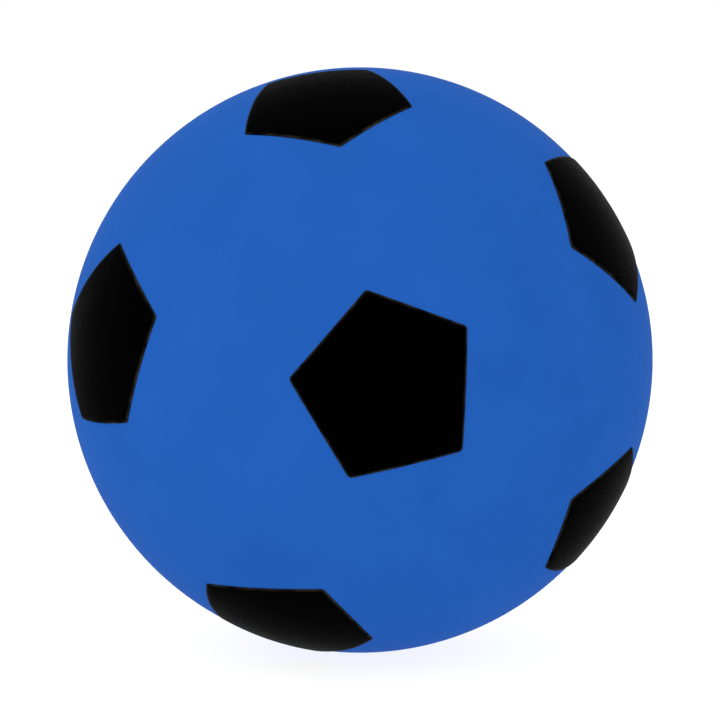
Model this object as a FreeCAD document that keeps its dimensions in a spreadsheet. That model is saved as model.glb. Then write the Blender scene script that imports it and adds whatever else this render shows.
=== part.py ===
"""A 70 mm filled-shell juggling ball with twelve black pentagons, as a parametric document.

The frame: the origin is the centre of the ball, +Z is up, and -Y points out of the front pentagon.
The ball is a moulded shell in two halves that meet at y = 0, a loose filling that lies in the bottom,
a plug in the filling hole at the +Y pole, and twelve thin pentagons stuck on the outside. Each half
and the plug are built about their own Z axis, with the pole up, and then turned to lie along Y.
"""

import FreeCAD, Part
import math
import os
import Sketcher

# Millimetres, and degrees for the angles of a patch.
SIZES = {
    "ball_radius": 35.0,
    "inner_radius": 32.6,
    "seam_depth": 0.3,
    "lap_radius": 33.75,
    "lap_height": 3.0,
    "lap_gap": 0.03,
    "boss_radius": 6.0,
    "boss_bottom": 28.4,
    "boss_fillet": 0.8,
    "bore_radius": 3.5,
    "counterbore_radius": 5.1,
    "counterbore_floor": 33.6,
    "plug_gap": 0.03,
    "plug_top_radius": 35.2,
    "plug_stem_radius": 3.2,
    "plug_stem_bottom": 28.2,
    "plug_tip_height": 0.6,
    "plug_tip_radius": 2.8,
    "seal_ring_first": 32.6,
    "seal_ring_pitch": 1.4,
    "notch_radius": 1.4,
    "notch_bottom": 34.2,
    "filling_gap": 0.3,
    "filling_level": 6.5,
    "glue_gap": 0.02,
    "patch_thickness": 0.2,
    "patch_corner_radius": 0.5,
    "patch_hole_radius": 5.3,
}
TOLERANCE = 1e-4
SEAL_RINGS = 3
PATCH_SIDES = 5

# The front half's patches, cut by hand and stuck on by eye. tilt is the angle from the -Y pole, and
# azimuth goes from +X towards +Z. At a twist of 0 the first corner points at the pole. reach is how far
# the corners are from the patch's middle, and stray lists the corners that were cut off true: how much
# further out they are, and the angle that they are off by. side_radius is the bow of the sides, which
# are almost straight on the middle patch. The back half has the same six patches, each straight across
# the ball from its twin.
PATCHES = {
    "pentagon": {"tilt": 0.0, "azimuth": 31.0, "twist": 180.0, "reach": 10.6, "side_radius": 500.0,
                 "stray": {0: (0.0, 6.0)}},
    "ring_pentagon_1": {"tilt": 65.0, "azimuth": 34.0, "twist": 0.0, "reach": 10.7, "side_radius": 65.0,
                        "stray": {1: (0.0, 8.0), 4: (-1.5, 0.0)}},
    "ring_pentagon_2": {"tilt": 64.5, "azimuth": 99.5, "twist": 0.0, "reach": 10.3, "side_radius": 65.0,
                        "stray": {1: (-0.5, -3.0), 3: (1.2, -6.0)}},
    "ring_pentagon_3": {"tilt": 63.5, "azimuth": 173.0, "twist": 21.0, "reach": 11.1, "side_radius": 50.0,
                        "stray": {2: (0.0, 5.0), 3: (-0.4, 6.0), 4: (-0.5, 0.0)}},
    "ring_pentagon_4": {"tilt": 62.0, "azimuth": -109.0, "twist": -3.5, "reach": 10.6, "side_radius": 30.0,
                        "stray": {0: (0.8, -4.0), 1: (-0.3, 11.0), 4: (-0.7, -4.0)}},
    "ring_pentagon_5": {"tilt": 62.0, "azimuth": -33.5, "twist": -3.0, "reach": 9.8, "side_radius": 25.0,
                        "stray": {0: (-0.6, 0.0), 1: (-1.5, 0.0), 4: (-0.7, -17.0)}},
}

UP = FreeCAD.Vector(0, 0, 1)
TO_FRONT = FreeCAD.Placement(FreeCAD.Vector(), FreeCAD.Rotation(FreeCAD.Vector(1, 0, 0), 90))
TO_BACK = FreeCAD.Placement(FreeCAD.Vector(), FreeCAD.Rotation(FreeCAD.Vector(1, 0, 0), -90))

doc = FreeCAD.newDocument("juggling_ball")
sheet = doc.addObject("Spreadsheet::Sheet", "sizes")


def fill_sheet():
    """Writes every size, and every patch's numbers, to the sheet with an alias each."""
    cells = dict(SIZES)
    for patch, numbers in PATCHES.items():
        for word in ("tilt", "azimuth", "twist", "side_radius"):
            cells[f"{patch}_{word}"] = numbers[word]
        for corner in range(PATCH_SIDES):
            further_out, off_by = numbers["stray"].get(corner, (0.0, 0.0))
            cells[f"{patch}_reach_{corner}"] = numbers["reach"] + further_out
            cells[f"{patch}_bearing_{corner}"] = 360 / PATCH_SIDES * corner + off_by
    for row, (alias, number) in enumerate(cells.items(), start=1):
        sheet.set(f"A{row}", alias)
        sheet.set(f"B{row}", str(number))
        sheet.setAlias(f"B{row}", alias)
    doc.recompute()


def bind(thing, **properties):
    """Sets each property to a plain number, or binds it to an expression in the sheet's aliases."""
    for name, value in properties.items():
        if isinstance(value, str):
            thing.setExpression(name, value)
        else:
            setattr(thing, name, value)
    return thing


def solid(name, kind, bottom=None, **properties):
    """A Part primitive about the Z axis, standing at the height that the bottom expression gives."""
    primitive = bind(doc.addObject(kind, name), **properties)
    if bottom:
        primitive.setExpression("Placement.Base.z", bottom)
    return primitive


def feature(body, name, kind, bottom=None, **properties):
    """The same for a PartDesign feature, which becomes the tip of its body."""
    primitive = bind(body.newObject(f"PartDesign::{kind}", name), **properties)
    if bottom:
        primitive.setExpression("Placement.Base.z", bottom)
    return primitive


def combine(name, kind, base, tool):
    """A Part boolean of two objects."""
    return bind(doc.addObject(kind, name), Base=base, Tool=tool)


def new_body(label):
    """An empty body that carries its sub-part's name."""
    body = doc.addObject("PartDesign::Body", label)
    body.Label = label
    return body


def rings_at(shape, radius, height):
    """The names of the shape's circular edges about the Z axis with this radius at this height."""
    found = []
    for number, edge in enumerate(shape.Edges, start=1):
        if edge.Degenerated or not isinstance(edge.Curve, Part.Circle):
            continue
        off = (edge.Curve.Radius - radius, edge.Curve.Center.z - height, 1 - abs(edge.Curve.Axis.z))
        if all(abs(distance) < TOLERANCE for distance in off):
            found.append(f"Edge{number}")
    return found


def trim_ring(body, name, kind, radius, height, **amount):
    """A chamfer or fillet on the circular edge of the body's tip with this radius at this height."""
    doc.recompute()
    base = body.Tip
    names = rings_at(base.Shape, radius, height)
    if len(names) != 1:
        raise RuntimeError(f"{name}: {len(names)} edges match, not 1")
    return feature(body, name, kind, Base=(base, names), **amount)


def front_shell():
    """The front half, with the thin ring that fits inside the back half's rim."""
    body = new_body("front_shell")
    feature(body, "front_dome", "AdditiveSphere", Radius="sizes.ball_radius", Angle1=0, Angle2=90)
    feature(body, "front_lap", "AdditiveCylinder", "-sizes.lap_height",
            Radius="sizes.lap_radius", Height="sizes.lap_height")
    feature(body, "front_hollow", "SubtractiveSphere", Radius="sizes.inner_radius")
    trim_ring(body, "front_seam", "Chamfer", sheet.ball_radius, 0, Size="sizes.seam_depth")
    trim_ring(body, "front_lead_in", "Chamfer", sheet.lap_radius, -sheet.lap_height, Size="sizes.seam_depth")
    body.Placement = TO_FRONT
    return body


def back_shell():
    """The back half, with the rim's socket and the boss that the filling hole goes through."""
    body = new_body("back_shell")
    feature(body, "back_dome", "AdditiveSphere", Radius="sizes.ball_radius", Angle1=0, Angle2=90)
    feature(body, "back_hollow", "SubtractiveSphere", Radius="sizes.inner_radius")
    feature(body, "back_socket", "SubtractiveCylinder",
            Radius="sizes.lap_radius + sizes.lap_gap", Height="sizes.lap_height + sizes.lap_gap")
    feature(body, "boss", "AdditiveCylinder", "sizes.boss_bottom",
            Radius="sizes.boss_radius", Height="sizes.counterbore_floor - sizes.boss_bottom")
    boss_top = math.sqrt(sheet.inner_radius**2 - sheet.boss_radius**2)
    trim_ring(body, "boss_root", "Fillet", sheet.boss_radius, boss_top, Radius="sizes.boss_fillet")
    feature(body, "bore", "SubtractiveCylinder", Radius="sizes.bore_radius", Height="sizes.ball_radius")
    feature(body, "counterbore", "SubtractiveCylinder", "sizes.counterbore_floor",
            Radius="sizes.counterbore_radius", Height="sizes.ball_radius - sizes.counterbore_floor")
    trim_ring(body, "back_seam", "Chamfer", sheet.ball_radius, 0, Size="sizes.seam_depth")
    body.Placement = TO_BACK
    return body


def fill_plug():
    """The plug: a domed head with a notch to lift it by, and a stem whose rounded rings seal in the bore."""
    head_radius = "sizes.counterbore_radius - sizes.plug_gap"
    head_bottom = "sizes.counterbore_floor + sizes.plug_gap"
    head_blank = solid("plug_head_blank", "Part::Cylinder", head_bottom,
                       Radius=head_radius, Height="sizes.plug_top_radius - sizes.counterbore_floor")
    dome = solid("plug_dome", "Part::Sphere", Radius="sizes.plug_top_radius")
    head = combine("plug_head", "Part::Common", head_blank, dome)
    stem = solid("plug_stem", "Part::Cylinder", "sizes.plug_stem_bottom", Radius="sizes.plug_stem_radius",
                 Height=f"{head_bottom} - sizes.plug_stem_bottom")
    tip = solid("plug_tip", "Part::Cone", "sizes.plug_stem_bottom - sizes.plug_tip_height",
                Radius1="sizes.plug_tip_radius", Radius2="sizes.plug_stem_radius",
                Height="sizes.plug_tip_height")
    rings = []
    for number in range(SEAL_RINGS):
        height = f"sizes.seal_ring_first - {number} * sizes.seal_ring_pitch"
        rings.append(solid(f"seal_ring_{number + 1}", "Part::Torus", height, Radius1="sizes.plug_stem_radius",
                           Radius2="sizes.bore_radius - sizes.plug_gap - sizes.plug_stem_radius"))
    whole = bind(doc.addObject("Part::MultiFuse", "plug_blank"), Shapes=[head, stem, tip, *rings])
    notch = solid("pry_notch", "Part::Cylinder", "sizes.notch_bottom", Radius="sizes.notch_radius",
                  Height="sizes.plug_top_radius - sizes.notch_bottom")
    notch.setExpression("Placement.Base.x", head_radius)
    plug = combine("fill_plug", "Part::Cut", whole, notch)
    plug.Label = "fill_plug"
    plug.Placement = TO_BACK
    return plug


def filling():
    """The loose filling, settled flat in the bottom of the shell."""
    body = new_body("filling")
    radius = "(sizes.inner_radius - sizes.filling_gap)"
    feature(body, "settled_filling", "AdditiveSphere", Radius=radius,
            Angle2=f"-asin(sizes.filling_level / {radius})")
    return body


def skin():
    """The thin round layer that every patch is cut from."""
    inside = "sizes.ball_radius + sizes.glue_gap"
    outer = solid("skin_outside", "Part::Sphere", Radius=f"{inside} + sizes.patch_thickness")
    inner = solid("skin_inside", "Part::Sphere", Radius=inside)
    layer = combine("skin", "Part::Cut", outer, inner)
    # A quarter turn about Y takes the spheres' own poles and seams out of the patches.
    layer.Placement.Rotation = FreeCAD.Rotation(FreeCAD.Vector(0, 1, 0), 90)
    return layer


def add_dimension(sketch, kind, geometry, amount, alias, unit=""):
    """Adds a dimension to one piece of a sketch's geometry, named after the cell that it is bound to."""
    sketch.addConstraint(Sketcher.Constraint(kind, geometry, amount))
    sketch.renameConstraint(sketch.ConstraintCount - 1, alias)
    sketch.setExpression(f"Constraints.{alias}", f"sizes.{alias}{unit}")


def draw_die(sketch, patch):
    """Draws a pentagon whose sides bow outwards, with a construction line from its middle to each corner."""
    side_radius = sheet.get(f"{patch}_side_radius")
    reaches = [sheet.get(f"{patch}_reach_{corner}") for corner in range(PATCH_SIDES)]
    bearings = [math.radians(sheet.get(f"{patch}_bearing_{corner}")) for corner in range(PATCH_SIDES)]
    corners = [FreeCAD.Vector(reach * math.cos(bearing), reach * math.sin(bearing), 0)
               for reach, bearing in zip(reaches, bearings)]
    for start, end in zip(corners, corners[1:] + corners[:1]):
        bow = side_radius - math.sqrt(side_radius**2 - ((end - start).Length / 2) ** 2)
        outwards = (end - start).cross(UP).normalize()
        sketch.addGeometry(Part.Arc(start, (start + end) * 0.5 + outwards * bow, end))
    spokes = [sketch.addGeometry(Part.LineSegment(FreeCAD.Vector(), corner), True) for corner in corners]

    # A sketch numbers its own origin's point (-1, 1).
    for side, spoke in enumerate(spokes):
        sketch.addConstraint(Sketcher.Constraint("Coincident", side, 2, (side + 1) % PATCH_SIDES, 1))
        sketch.addConstraint(Sketcher.Constraint("Coincident", spoke, 1, -1, 1))
        sketch.addConstraint(Sketcher.Constraint("Coincident", spoke, 2, side, 1))
    for side in range(1, PATCH_SIDES):
        sketch.addConstraint(Sketcher.Constraint("Equal", 0, side))
    add_dimension(sketch, "Radius", 0, side_radius, f"{patch}_side_radius")
    for corner, spoke in enumerate(spokes):
        add_dimension(sketch, "Distance", spoke, reaches[corner], f"{patch}_reach_{corner}")
        add_dimension(sketch, "Angle", spoke, bearings[corner], f"{patch}_bearing_{corner}", " * 1 deg")


def die(name, patch):
    """The prism that cuts a patch out of the skin, with its upright edges rounded."""
    body = new_body(name)
    sketch = body.newObject("Sketcher::SketchObject", f"{name}_outline")
    plane = next(plane for plane in body.Origin.OriginFeatures if plane.Role == "XY_Plane")
    sketch.AttachmentSupport = [(plane, "")]
    sketch.MapMode = "FlatFace"
    draw_die(sketch, patch)
    pad = feature(body, f"{name}_pad", "Pad", Profile=sketch, Length="2 * sizes.ball_radius")
    doc.recompute()
    upright = [f"Edge{number}" for number, edge in enumerate(pad.Shape.Edges, start=1)
               if isinstance(edge.Curve, Part.Line) and abs(edge.Curve.Direction.z) > 0.999]
    feature(body, f"{name}_corners", "Fillet", Base=(pad, upright), Radius="sizes.patch_corner_radius")
    return body


def patch_place(patch, side):
    """Where a patch goes on the ball: side is 1 for the front half and -1 for the back."""
    words = ("tilt", "azimuth", "twist")
    tilt, azimuth, twist = (math.radians(sheet.get(f"{patch}_{word}")) for word in words)
    around = FreeCAD.Vector(math.cos(azimuth), 0, math.sin(azimuth))
    pole = FreeCAD.Vector(0, -1, 0)
    outwards = around * math.sin(tilt) + pole * math.cos(tilt)
    to_pole = pole * math.sin(tilt) - around * math.cos(tilt)
    to_corner = to_pole * math.cos(twist) + outwards.cross(to_pole) * math.sin(twist)
    turned = FreeCAD.Rotation(to_corner * side, outwards.cross(to_corner), outwards * side, "ZXY")
    return FreeCAD.Placement(FreeCAD.Vector(), turned)


def patch(label, name, side, layer):
    """One stuck-on pentagon. The one over the filling hole has a round hole of its own."""
    cut = combine(f"{label}_cut", "Part::Common", die(f"{label}_die", name), layer)
    if label == "back_pentagon":
        hole = solid("patch_hole", "Part::Cylinder", Radius="sizes.patch_hole_radius",
                     Height="2 * sizes.ball_radius")
        cut = combine(f"{label}_pierced", "Part::Cut", cut, hole)
    cut.Label = label
    cut.Placement = patch_place(name, side)
    return cut


def check_document(subparts):
    """Stops if any object failed, or if a sub-part's shape is not one valid solid."""
    doc.recompute()
    failed = [thing.Name for thing in doc.Objects if {"Invalid", "Error"} & set(thing.State)]
    failed += [part.Label for part in subparts
               if part.Shape.isNull() or not part.Shape.isValid() or len(part.Shape.Solids) != 1]
    if failed:
        raise RuntimeError(f"failed: {failed}")


fill_sheet()
ball_skin = skin()
subparts = [front_shell(), back_shell(), fill_plug(), filling()]
for half, half_side in (("front", 1), ("back", -1)):
    for patch_name in PATCHES:
        subparts.append(patch(f"{half}_{patch_name}", patch_name, half_side, ball_skin))
check_document(subparts)

os.makedirs("parts", exist_ok=True)
for subpart in subparts:
    subpart.Shape.exportStep(f"parts/{subpart.Label}.step")
    print(f"{subpart.Label}: {subpart.Shape.Volume:.1f} mm3")
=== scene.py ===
"""Looks of the juggling ball: finely modelled shell halves, patches, plug and filling over the CAD frame.

Lengths are in metres, in the frame of the CAD model: the ball's centre is the origin, +Z is up, -Y points
out of the front pentagon and +Y out of the filling hole.
"""

import cmath
import math
import statistics

import bpy
from mathutils import Matrix, Vector, noise


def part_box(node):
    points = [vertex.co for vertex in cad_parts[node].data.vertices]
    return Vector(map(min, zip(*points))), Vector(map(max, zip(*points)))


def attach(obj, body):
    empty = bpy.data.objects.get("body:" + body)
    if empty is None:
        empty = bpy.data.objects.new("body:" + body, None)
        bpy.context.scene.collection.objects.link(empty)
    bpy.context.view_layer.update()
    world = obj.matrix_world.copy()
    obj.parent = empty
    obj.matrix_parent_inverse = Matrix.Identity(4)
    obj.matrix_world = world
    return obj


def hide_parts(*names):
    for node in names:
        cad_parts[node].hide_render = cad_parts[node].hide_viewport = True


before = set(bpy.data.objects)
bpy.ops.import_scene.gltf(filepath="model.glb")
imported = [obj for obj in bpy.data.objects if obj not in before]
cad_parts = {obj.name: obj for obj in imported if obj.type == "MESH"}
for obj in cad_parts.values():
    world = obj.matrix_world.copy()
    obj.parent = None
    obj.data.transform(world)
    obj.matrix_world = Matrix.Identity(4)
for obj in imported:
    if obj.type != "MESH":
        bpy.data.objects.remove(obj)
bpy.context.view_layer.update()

MM = 0.001

# Sizes that the frame gives.
BALL_RADIUS = -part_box("front_shell")[0][1]
LAP_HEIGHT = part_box("front_shell")[1][1]
PLUG_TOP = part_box("fill_plug")[1][1]
PLUG_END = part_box("fill_plug")[0][1]
PLUG_HEAD_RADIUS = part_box("fill_plug")[1][0]
FILLING_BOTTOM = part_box("filling")[0][2]
FILLING_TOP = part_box("filling")[1][2]

# Sizes inside the shell that no box shows.
INNER_RADIUS = 32.6 * MM
LAP_RADIUS = 33.75 * MM
LAP_GAP = 0.03 * MM
BOSS_RADIUS = 6.0 * MM
BOSS_BOTTOM = 28.4 * MM
BORE_RADIUS = 3.5 * MM
COUNTERBORE_RADIUS = 5.1 * MM
COUNTERBORE_FLOOR = 33.6 * MM
PLUG_HEAD_BOTTOM = 33.63 * MM
PLUG_STEM_RADIUS = 3.2 * MM
SEAL_RING_RADIUS = 0.27 * MM
SEAL_RING_HEIGHTS = [height * MM for height in (32.6, 31.2, 29.8)]
NOTCH_RADIUS = 1.4 * MM
NOTCH_BOTTOM = 34.2 * MM

SEAM_LIP = 0.3 * MM
EDGE_ROUND = 0.12 * MM
BOSS_ROOT_ROUND = 0.6 * MM
PLUG_TIP_ROUND = 0.4 * MM
TURN_STEPS = 288
SHARP_DEGREES = 40
AXIS_TOLERANCE = 1e-9

DUNES_PER_METRE = 90
DUNE_DEPTH = 0.9 * MM
LUMPS_PER_METRE = 1700
LUMP_DEPTH = 0.25 * MM
RIM_FADE_POWER = 8
GRAIN_SIZE = 0.35 * MM

PATCH_SIDES = 5
PATCH_CORNER_RADIUS = 0.5 * MM
PATCH_BOTTOM = BALL_RADIUS + 0.02 * MM
PATCH_THICKNESS = 0.2 * MM
PATCH_EDGE_THICKNESS = 0.07 * MM
PATCH_PRESSED_WIDTH = 0.6 * MM
PATCH_PRESSED_POWER = 2.4
PATCH_RUBBED_WIDTH = 0.3 * MM
PATCH_CORNER_ANGLE = math.radians(108)
PATCH_CORNER_SPACING = math.radians(40)

CAMERA_AZIMUTH = -5.1
CAMERA_ELEVATION = 4.9
CAMERA_DISTANCE = 8 * BALL_RADIUS
CAMERA_LENS = 116.2

BLUE = (0.0135, 0.0950, 0.406)
BLACK = (0.0002, 0.0002, 0.0002)
CUT_EDGE = (0.030, 0.026, 0.020)
DARK_GRAIN = (0.55, 0.52, 0.46)
PALE_GRAIN = (0.86, 0.85, 0.82)
LIGHTER_TINT = 1.04
DARKER_TINT = 0.97
PLUG_TINT = 0.92

# Most of a noise's values lie between these two.
NOISE_LOW = 0.3
NOISE_HIGH = 0.7

# These two are centred on the ball's poles, and the others on the middle of their area.
POLE_PATCHES = ("front_pentagon", "back_pentagon")
FRONT = [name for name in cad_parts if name.startswith("front_") and "pentagon" in name]
BACK = [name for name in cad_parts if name.startswith("back_") and "pentagon" in name]

TO_FRONT = Matrix.Rotation(math.radians(90), 4, "X")
TO_BACK = Matrix.Rotation(math.radians(-90), 4, "X")


# Meshes


def add_mesh(name, points, faces):
    """A smooth-shaded object whose edges stay sharp where its faces meet at more than SHARP_DEGREES."""
    mesh = bpy.data.meshes.new(name)
    mesh.from_pydata(points, [], faces)
    mesh.validate()
    mesh.shade_smooth()
    mesh.set_sharp_from_angle(angle=math.radians(SHARP_DEGREES))
    piece = bpy.data.objects.new(name, mesh)
    bpy.context.scene.collection.objects.link(piece)
    return piece


def arc(centre, radius, start, end, steps):
    """Points (distance from the axis, height) of a circular arc, with its angles in degrees."""
    across, height = centre
    angles = [math.radians(start + (end - start) * step / steps) for step in range(steps + 1)]
    return [(across + radius * math.cos(angle), height + radius * math.sin(angle)) for angle in angles]


def latitude(height, radius):
    """The angle above the equator, in degrees, of this height on a sphere."""
    return math.degrees(math.asin(height / radius))


def turned(name, outline, place):
    """Turns a closed clockwise outline about the Z axis and places it. A point on the axis is a pole."""
    points, rows = [], []
    for across, height in outline:
        if across < AXIS_TOLERANCE:
            rows.append([len(points)])
            points.append(Vector((0, 0, height)))
            continue
        rows.append(list(range(len(points), len(points) + TURN_STEPS)))
        for step in range(TURN_STEPS):
            angle = 2 * math.pi * step / TURN_STEPS
            points.append(Vector((across * math.cos(angle), across * math.sin(angle), height)))
    faces = []
    for here, after in zip(rows, rows[1:] + rows[:1]):
        if len(here) == len(after) == 1:
            continue
        for step in range(TURN_STEPS):
            corners = [here[step % len(here)], after[step % len(after)],
                       after[(step + 1) % len(after)], here[(step + 1) % len(here)]]
            faces.append(list(dict.fromkeys(corners)))
    return add_mesh(name, [place @ point for point in points], faces)


def seam_outline():
    """The rounded lip that runs from the ball's surface down to the plane where the halves meet."""
    edge = math.sqrt(BALL_RADIUS**2 - SEAM_LIP**2)
    return arc((edge - SEAM_LIP, SEAM_LIP), SEAM_LIP, 0, -90, steps=6)


def front_shell():
    """The front half, with the ring that fits inside the back half's rim."""
    outline = arc((0, 0), BALL_RADIUS, 90, latitude(SEAM_LIP, BALL_RADIUS), steps=110)[:-1]
    outline += seam_outline()
    outline += [(LAP_RADIUS, 0), (LAP_RADIUS, -LAP_HEIGHT + SEAM_LIP), (LAP_RADIUS - SEAM_LIP, -LAP_HEIGHT)]
    outline += arc((0, 0), INNER_RADIUS, latitude(-LAP_HEIGHT, INNER_RADIUS), 90, steps=70)
    return turned("front_half", outline, TO_FRONT)


def back_shell():
    """The back half, with its socket, the boss and the filling hole."""
    mouth = COUNTERBORE_RADIUS + EDGE_ROUND
    mouth_height = math.sqrt(BALL_RADIUS**2 - mouth**2)
    outline = arc((mouth, mouth_height - EDGE_ROUND), EDGE_ROUND, 180, 90, steps=5)
    outline += arc((0, 0), BALL_RADIUS, latitude(mouth_height, BALL_RADIUS),
                   latitude(SEAM_LIP, BALL_RADIUS), steps=110)[1:-1]
    outline += seam_outline()
    socket = (LAP_RADIUS + LAP_GAP, LAP_HEIGHT + LAP_GAP)
    outline += [(socket[0], 0), socket]
    boss_root = math.sqrt(INNER_RADIUS**2 - (BOSS_RADIUS + BOSS_ROOT_ROUND) ** 2)
    outline += arc((0, 0), INNER_RADIUS, latitude(socket[1], INNER_RADIUS),
                   latitude(boss_root, INNER_RADIUS), steps=70)
    outline += [(BOSS_RADIUS + EDGE_ROUND, boss_root - EDGE_ROUND),
                (BOSS_RADIUS, boss_root - BOSS_ROOT_ROUND)]
    outline += arc((BOSS_RADIUS - EDGE_ROUND, BOSS_BOTTOM + EDGE_ROUND), EDGE_ROUND, 0, -90, steps=5)
    outline += arc((BORE_RADIUS + EDGE_ROUND, BOSS_BOTTOM + EDGE_ROUND), EDGE_ROUND, -90, -180, steps=5)
    outline += [(BORE_RADIUS, COUNTERBORE_FLOOR), (COUNTERBORE_RADIUS, COUNTERBORE_FLOOR)]
    return turned("back_half", outline, TO_BACK)


def fill_plug():
    """The plug, with its domed head, lifting notch and three sealing rings."""
    head = PLUG_HEAD_RADIUS
    rim = math.sqrt(PLUG_TOP**2 - head**2) - EDGE_ROUND
    outline = arc((0, 0), PLUG_TOP, 90, latitude(rim + EDGE_ROUND, PLUG_TOP), steps=24)[:-1]
    outline += arc((head - EDGE_ROUND, rim), EDGE_ROUND, 80, 0, steps=5)
    outline += [(head, PLUG_HEAD_BOTTOM + EDGE_ROUND), (head - EDGE_ROUND, PLUG_HEAD_BOTTOM),
                (PLUG_STEM_RADIUS, PLUG_HEAD_BOTTOM)]
    for height in SEAL_RING_HEIGHTS:
        outline += arc((PLUG_STEM_RADIUS, height), SEAL_RING_RADIUS, 90, -90, steps=10)
    outline.append((PLUG_STEM_RADIUS, PLUG_END + 1.5 * PLUG_TIP_ROUND))
    outline += arc((PLUG_STEM_RADIUS - PLUG_TIP_ROUND, PLUG_END + PLUG_TIP_ROUND), PLUG_TIP_ROUND,
                   0, -90, steps=5)
    outline.append((0, PLUG_END))
    plug = turned("plug", outline, TO_BACK)

    # Half a step's turn keeps the notch's edges off the head's own, where a cut would leave slivers.
    steps = 64
    bpy.ops.mesh.primitive_cylinder_add(vertices=steps, radius=NOTCH_RADIUS, depth=PLUG_TOP - NOTCH_BOTTOM)
    notch = bpy.context.object
    notch.matrix_world = (TO_BACK @ Matrix.Translation((head, 0, (PLUG_TOP + NOTCH_BOTTOM) / 2 + EDGE_ROUND))
                          @ Matrix.Rotation(math.pi / steps, 4, "Z"))
    cut = plug.modifiers.new("notch", "BOOLEAN")
    cut.object = notch
    cut.solver = "EXACT"
    bpy.context.view_layer.update()
    cut_mesh = bpy.data.meshes.new_from_object(plug.evaluated_get(bpy.context.evaluated_depsgraph_get()))
    plug.modifiers.clear()
    plug.data = cut_mesh
    plug.data.set_sharp_from_angle(angle=math.radians(SHARP_DEGREES))
    bpy.data.objects.remove(notch)
    return plug


def filling():
    """The settled grains: a round bottom that follows the shell, under a top with small dunes."""
    radius = -FILLING_BOTTOM
    rows, turns = 90, 360
    rim = math.sqrt(radius**2 - FILLING_TOP**2)
    points, rings = [], []

    def add_ring(across, height_at):
        rings.append(range(len(points), len(points) + turns))
        for step in range(turns):
            angle = 2 * math.pi * step / turns
            spot = Vector((across * math.cos(angle), across * math.sin(angle), 0))
            points.append(Vector((spot.x, spot.y, height_at(spot))))

    def dunes(spot):
        """Dunes and small lumps, all under the level of the filling, that fade out at the rim."""
        fade = 1 - (spot.length / rim) ** RIM_FADE_POWER
        dune = 0.5 + 0.5 * noise.noise(spot * DUNES_PER_METRE)
        lump = 0.5 + 0.5 * noise.noise(spot * LUMPS_PER_METRE)
        return FILLING_TOP - fade * (DUNE_DEPTH * dune + LUMP_DEPTH * lump)

    for row in range(1, rows + 1):
        add_ring(rim * row / rows, dunes)
    start = latitude(FILLING_TOP, radius)
    for row in range(1, rows):
        angle = math.radians(start + (-90 - start) * row / rows)
        add_ring(radius * math.cos(angle), lambda spot, height=radius * math.sin(angle): height)
    top, bottom = len(points), len(points) + 1
    points += [Vector((0, 0, dunes(Vector((0, 0, 0))))), Vector((0, 0, FILLING_BOTTOM))]
    faces = []
    for step in range(turns):
        after = (step + 1) % turns
        faces.append((top, rings[0][step], rings[0][after]))
        faces.append((bottom, rings[-1][after], rings[-1][step]))
        for inner, outer in zip(rings, rings[1:]):
            faces.append((inner[step], outer[step], outer[after], inner[after]))
    return add_mesh("filling_grains", points, faces)


# Patches


def measure_patch(node):
    """Reads a CAD patch: its outward direction, two directions across it, its sharp corners as complex
    numbers in those two, the radius of its sides, and the radius of its hole (0 or so if it has none)."""
    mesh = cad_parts[node].data
    outwards = sum((face.center * face.area for face in mesh.polygons), Vector()).normalized()
    if node in POLE_PATCHES:
        outwards = Vector((0, round(outwards.y), 0))
    across = outwards.orthogonal().normalized()
    along = outwards.cross(across)
    spots = [complex(vertex.co.dot(across), vertex.co.dot(along)) for vertex in mesh.vertices]
    tips = []
    for spot in sorted(spots, key=abs, reverse=True):
        if all(abs(cmath.phase(spot / tip)) > PATCH_CORNER_SPACING for tip in tips):
            tips.append(spot)
    rounded_off = PATCH_CORNER_RADIUS * (1 / math.sin(PATCH_CORNER_ANGLE / 2) - 1)
    corners = [tip * (1 + rounded_off / abs(tip)) for tip in sorted(tips[:PATCH_SIDES], key=cmath.phase)]
    side_radii = [side_radius(start, end, spots) for start, end in zip(corners, corners[1:] + corners[:1])]
    return outwards, across, along, corners, statistics.median(side_radii), min(abs(spot) for spot in spots)


def side_radius(start, end, spots):
    """The radius of the arc from start to end that goes through the furthest of the spots outside them."""
    half = abs(end - start) / 2
    bow = max(-((spot - start) / (end - start)).imag for spot in spots) * 2 * half
    return (half**2 + bow**2) / (2 * bow)


def sweep(centre, start, end, steps):
    """Points of the arc about a centre that runs from start towards end, without the last one."""
    turn = cmath.phase((end - centre) / (start - centre))
    return [centre + (start - centre) * cmath.rect(1, turn * step / steps) for step in range(steps)]


def patch_outline(corners, radius, side_steps=22, corner_steps=8):
    """A pentagon with bowed sides and rounded corners, from its sharp corners in anticlockwise order."""
    side_centres = []
    for start, end in zip(corners, corners[1:] + corners[:1]):
        half = (end - start) / 2
        inwards = 1j * half / abs(half)
        side_centres.append(start + half + inwards * math.sqrt(radius**2 - abs(half) ** 2))
    touches = []
    for corner, before, after in zip(corners, side_centres[-1:] + side_centres[:-1], side_centres):
        middle = (before + after) / 2
        towards = (corner - middle) / abs(corner - middle)
        inner_radius = radius - PATCH_CORNER_RADIUS
        centre = middle + towards * math.sqrt(inner_radius**2 - abs(after - middle) ** 2)
        touches.append((centre, before + (centre - before) * radius / inner_radius,
                        after + (centre - after) * radius / inner_radius))
    outline = []
    for side_centre, here, following in zip(side_centres, touches, touches[1:] + touches[:1]):
        outline += sweep(*here, corner_steps)
        outline += sweep(side_centre, here[2], following[1], side_steps)
    return outline


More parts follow.
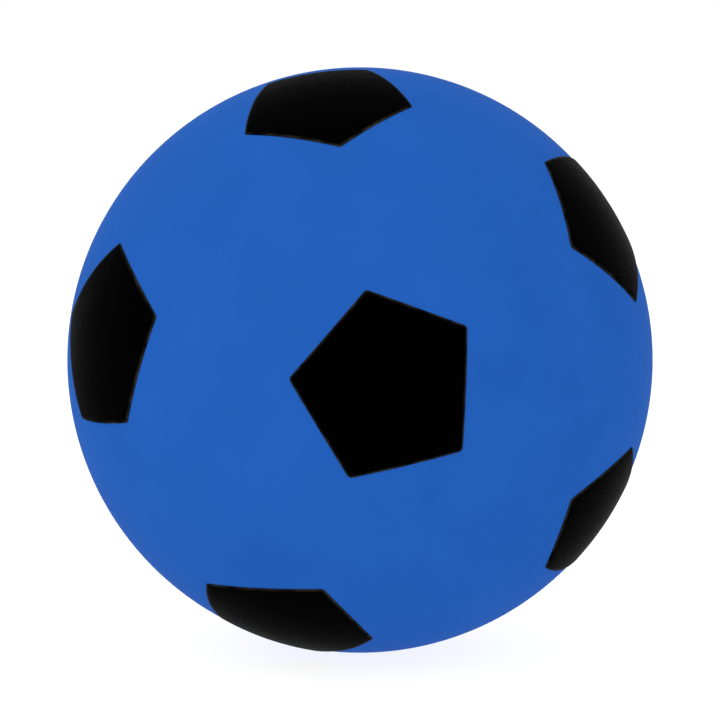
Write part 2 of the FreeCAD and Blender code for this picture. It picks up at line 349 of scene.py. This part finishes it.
def patch(node):
    """A thin pentagon that lies on the ball, with its edge pressed down, in the place of a CAD patch."""
    outwards, across, along, corners, radius_of_sides, hole = measure_patch(node)
    outline = patch_outline(corners, radius_of_sides)
    apothem = min(abs(spot) for spot in outline)
    pressed = [0, 0.03, 0.08, 0.16, 0.28, 0.42, 0.6, 0.8, 1]
    has_hole = hole > MM
    inner = hole if has_hole else 0

    def spot_at(edge_spot, depth):
        """The flat place that lies the given part of the way from the outline to the middle or hole."""
        return edge_spot + (inner * edge_spot / abs(edge_spot) - edge_spot) * depth

    def lift(depth):
        """The layer's thickness at that depth: thin at its pressed edge, full further in."""
        inset = min(depth, 1 - depth if has_hole else 1) * (apothem - inner)
        rest = max(0, 1 - inset / PATCH_PRESSED_WIDTH)
        return PATCH_THICKNESS - (PATCH_THICKNESS - PATCH_EDGE_THICKNESS) * rest**PATCH_PRESSED_POWER

    edge_depths = [PATCH_PRESSED_WIDTH * part / (apothem - inner) for part in pressed]
    middle_steps = 14
    last = 1 - edge_depths[-1] if has_hole else 1
    span = last - edge_depths[-1]
    depths = edge_depths + [edge_depths[-1] + span * step / middle_steps for step in range(1, middle_steps)]
    if has_hole:
        depths += [1 - depth for depth in reversed(edge_depths)]

    points, levels, edge_marks = [], [], []

    def add_level(depth, radius):
        levels.append(range(len(points), len(points) + len(outline)))
        for edge_spot in outline:
            spot = spot_at(edge_spot, depth)
            height = math.sqrt(radius**2 - abs(spot) ** 2)
            points.append(across * spot.real + along * spot.imag + outwards * height)
            edge_marks.append(min(1, (abs(edge_spot) - abs(spot)) / MM))

    for depth in reversed(depths):
        add_level(depth, PATCH_BOTTOM)
    for depth in depths:
        add_level(depth, PATCH_BOTTOM + lift(depth))
    faces = []
    count = len(outline)
    ends = list(zip(levels, levels[1:]))
    if has_hole:
        ends.append((levels[-1], levels[0]))
    for lower, upper in ends:
        faces += [(lower[step], lower[(step + 1) % count], upper[(step + 1) % count], upper[step])
                  for step in range(count)]
    if not has_hole:
        top = PATCH_BOTTOM + PATCH_THICKNESS
        for level, radius, order in ((levels[-1], top, 1), (levels[0], PATCH_BOTTOM, -1)):
            points.append(outwards * radius)
            edge_marks.append(1)
            faces += [(level[step], level[(step + 1) % count], len(points) - 1)[::order]
                      for step in range(count)]
    piece = add_mesh(f"{node}_patch", points, faces)
    mark = piece.data.attributes.new("edge_distance", "FLOAT", "POINT")
    mark.data.foreach_set("value", edge_marks)
    return piece


# Materials


def new_material(name, colour, roughness, specular):
    """A material and its shader node."""
    material = bpy.data.materials.new(name)
    material.use_nodes = True
    shader = material.node_tree.nodes["Principled BSDF"]
    shader.inputs["Base Color"].default_value = (*colour, 1)
    shader.inputs["Roughness"].default_value = roughness
    shader.inputs["Specular IOR Level"].default_value = specular
    return material, shader


def noise_node(material, feature_size, detail=2.0):
    """Noise in the piece's own metres, with features of about this size."""
    nodes, links = material.node_tree.nodes, material.node_tree.links
    place = nodes.new("ShaderNodeTexCoord")
    texture = nodes.new("ShaderNodeTexNoise")
    texture.inputs["Scale"].default_value = 1 / feature_size
    texture.inputs["Detail"].default_value = detail
    links.new(place.outputs["Object"], texture.inputs["Vector"])
    return texture.outputs["Fac"]


def ramp(material, source, low, high):
    """Stretches a source's values between NOISE_LOW and NOISE_HIGH to run from low to high."""
    node = material.node_tree.nodes.new("ShaderNodeMapRange")
    node.inputs["From Min"].default_value = NOISE_LOW
    node.inputs["From Max"].default_value = NOISE_HIGH
    node.inputs["To Min"].default_value = low
    node.inputs["To Max"].default_value = high
    material.node_tree.links.new(source, node.inputs["Value"])
    return node.outputs["Result"]


def mix_colours(material, factor, first, second):
    """A colour between two by a factor."""
    node = material.node_tree.nodes.new("ShaderNodeMix")
    node.data_type = "RGBA"
    node.inputs["A"].default_value = (*first, 1)
    node.inputs["B"].default_value = (*second, 1)
    material.node_tree.links.new(factor, node.inputs["Factor"])
    return node.outputs["Result"]


def add_bump(material, shader, heights):
    """Stacks bumps of (height source, depth in metres), finest last."""
    normal = None
    for source, depth in heights:
        node = material.node_tree.nodes.new("ShaderNodeBump")
        node.inputs["Distance"].default_value = depth
        material.node_tree.links.new(source, node.inputs["Height"])
        if normal:
            material.node_tree.links.new(normal, node.inputs["Normal"])
        normal = node.outputs["Normal"]
    material.node_tree.links.new(normal, shader.inputs["Normal"])


def moulded_vinyl(name, colour, roughness):
    """Soft matte vinyl: the mould's fine blasted grain, a faint slow unevenness and a cloudy tint."""
    material, shader = new_material(name, colour, roughness, specular=0.012)
    lighter = [channel * LIGHTER_TINT for channel in colour]
    darker = [channel * DARKER_TINT for channel in colour]
    links = material.node_tree.links
    cloud = ramp(material, noise_node(material, 9 * MM, detail=3), 0, 1)
    links.new(mix_colours(material, cloud, darker, lighter), shader.inputs["Base Color"])
    grain = noise_node(material, 0.32 * MM, detail=3)
    links.new(ramp(material, grain, roughness - 0.06, roughness + 0.06), shader.inputs["Roughness"])
    unevenness = noise_node(material, 14 * MM, detail=1)
    add_bump(material, shader, [(unevenness, 0.05 * MM), (grain, 0.05 * MM)])
    return material


def black_vinyl():
    """The patches' matte film: stippled, with a soft sheen at grazing angles and dusty, rubbed edges."""
    material, shader = new_material("black_film", BLACK, roughness=0.5, specular=0.002)
    shader.inputs["Sheen Weight"].default_value = 0.045
    shader.inputs["Sheen Roughness"].default_value = 0.22
    nodes, links = material.node_tree.nodes, material.node_tree.links
    distance = nodes.new("ShaderNodeAttribute")
    distance.attribute_name = "edge_distance"
    rubbed = nodes.new("ShaderNodeMapRange")
    rubbed.inputs["From Min"].default_value = 0.0
    rubbed.inputs["From Max"].default_value = PATCH_RUBBED_WIDTH / MM
    rubbed.inputs["To Min"].default_value = 1.0
    rubbed.inputs["To Max"].default_value = 0.0
    links.new(distance.outputs["Fac"], rubbed.inputs["Value"])
    stipple = noise_node(material, 0.28 * MM, detail=3)
    patchy = nodes.new("ShaderNodeMath")
    patchy.operation = "MULTIPLY"
    links.new(rubbed.outputs["Result"], patchy.inputs[0])
    links.new(ramp(material, noise_node(material, 1.6 * MM, detail=4), 0, 1), patchy.inputs[1])
    links.new(mix_colours(material, patchy.outputs["Value"], BLACK, CUT_EDGE),
              shader.inputs["Base Color"])
    links.new(ramp(material, stipple, 0.42, 0.58), shader.inputs["Roughness"])
    waviness = noise_node(material, 3 * MM, detail=2)
    add_bump(material, shader, [(waviness, 0.04 * MM), (stipple, 0.03 * MM)])
    return material


def loose_grains():
    """Fine salt: off-white grains, each with a shade and roughness of its own."""
    material, shader = new_material("salt_grains", PALE_GRAIN, roughness=0.55, specular=0.5)
    nodes, links = material.node_tree.nodes, material.node_tree.links
    place = nodes.new("ShaderNodeTexCoord")
    cells = nodes.new("ShaderNodeTexVoronoi")
    cells.inputs["Scale"].default_value = 1 / GRAIN_SIZE
    links.new(place.outputs["Object"], cells.inputs["Vector"])
    tone = nodes.new("ShaderNodeSeparateColor")
    links.new(cells.outputs["Color"], tone.inputs["Color"])
    links.new(mix_colours(material, tone.outputs["Red"], DARK_GRAIN, PALE_GRAIN),
              shader.inputs["Base Color"])
    links.new(ramp(material, tone.outputs["Green"], 0.3, 0.7), shader.inputs["Roughness"])
    add_bump(material, shader, [(cells.outputs["Distance"], 0.2 * MM)])
    return material


# Studio


def add_floor():
    """A plain white floor, lit from below as a light table is, that fades into the white of the room."""
    bpy.ops.mesh.primitive_circle_add(vertices=128, radius=4, fill_type="NGON", location=(0, 0, -BALL_RADIUS))
    floor = bpy.context.object
    floor.name = "floor"
    material, shader = new_material("floor_white", (0.3, 0.3, 0.3), roughness=0.9, specular=0.0)
    shader.inputs["Emission Color"].default_value = (1, 1, 1, 1)
    shader.inputs["Emission Strength"].default_value = 0.86
    floor.data.materials.append(material)


def add_softbox(name, size, power, azimuth, elevation, distance):
    """A large square soft light that looks at the ball."""
    data = bpy.data.lights.new(name, "AREA")
    data.size = size
    data.energy = power
    lamp = bpy.data.objects.new(name, data)
    bpy.context.scene.collection.objects.link(lamp)
    lamp.location = direction(azimuth, elevation) * distance
    lamp.rotation_euler = lamp.location.to_track_quat("Z", "Y").to_euler()


def direction(azimuth, elevation):
    """From the ball towards a place at this azimuth and elevation, in degrees. Azimuth 0 is -Y."""
    turn, rise = math.radians(azimuth), math.radians(elevation)
    return Vector((math.sin(turn) * math.cos(rise), -math.cos(turn) * math.cos(rise), math.sin(rise)))


def add_room():
    """Even white light from all round, and colours shown as they are."""
    world = bpy.data.worlds.new("studio")
    bpy.context.scene.world = world
    world.use_nodes = True
    background = world.node_tree.nodes["Background"]
    background.inputs["Color"].default_value = (1, 1, 1, 1)
    background.inputs["Strength"].default_value = 1.03
    bpy.context.scene.view_settings.view_transform = "Standard"
    bpy.context.scene.view_settings.look = "None"


def add_camera():
    """The camera, eight ball radii away, a little to the left of the front pentagon and above it."""
    data = bpy.data.cameras.new("camera")
    data.sensor_width = 36
    data.lens = CAMERA_LENS
    data.clip_start = 0.01
    camera = bpy.data.objects.new("camera", data)
    bpy.context.scene.collection.objects.link(camera)
    camera.location = direction(CAMERA_AZIMUTH, CAMERA_ELEVATION) * CAMERA_DISTANCE
    camera.rotation_euler = camera.location.to_track_quat("Z", "Y").to_euler()
    bpy.context.scene.camera = camera


def dress(piece, material, body, slot, *nodes):
    """Gives a piece its material and puts it in the place of its CAD nodes."""
    piece.data.materials.clear()
    piece.data.materials.append(material)
    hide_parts(*nodes)
    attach(piece, body)


shell_vinyl = moulded_vinyl("blue_vinyl", BLUE, roughness=0.7)
plug_vinyl = moulded_vinyl("blue_plug_vinyl", [PLUG_TINT * channel for channel in BLUE], roughness=0.6)
film = black_vinyl()

dress(front_shell(), shell_vinyl, "shell", "shell_blue", "front_shell")
dress(back_shell(), shell_vinyl, "shell", "shell_blue", "back_shell")
dress(fill_plug(), plug_vinyl, "plug", "plug_blue", "fill_plug")
dress(filling(), loose_grains(), "filling", "filling", "filling")
for patch_node in FRONT + BACK:
    dress(patch(patch_node), film, "shell", "patch_black", patch_node)

add_floor()
add_room()
add_softbox("key", size=0.5, power=1.2, azimuth=-40, elevation=45, distance=0.8)
add_camera()
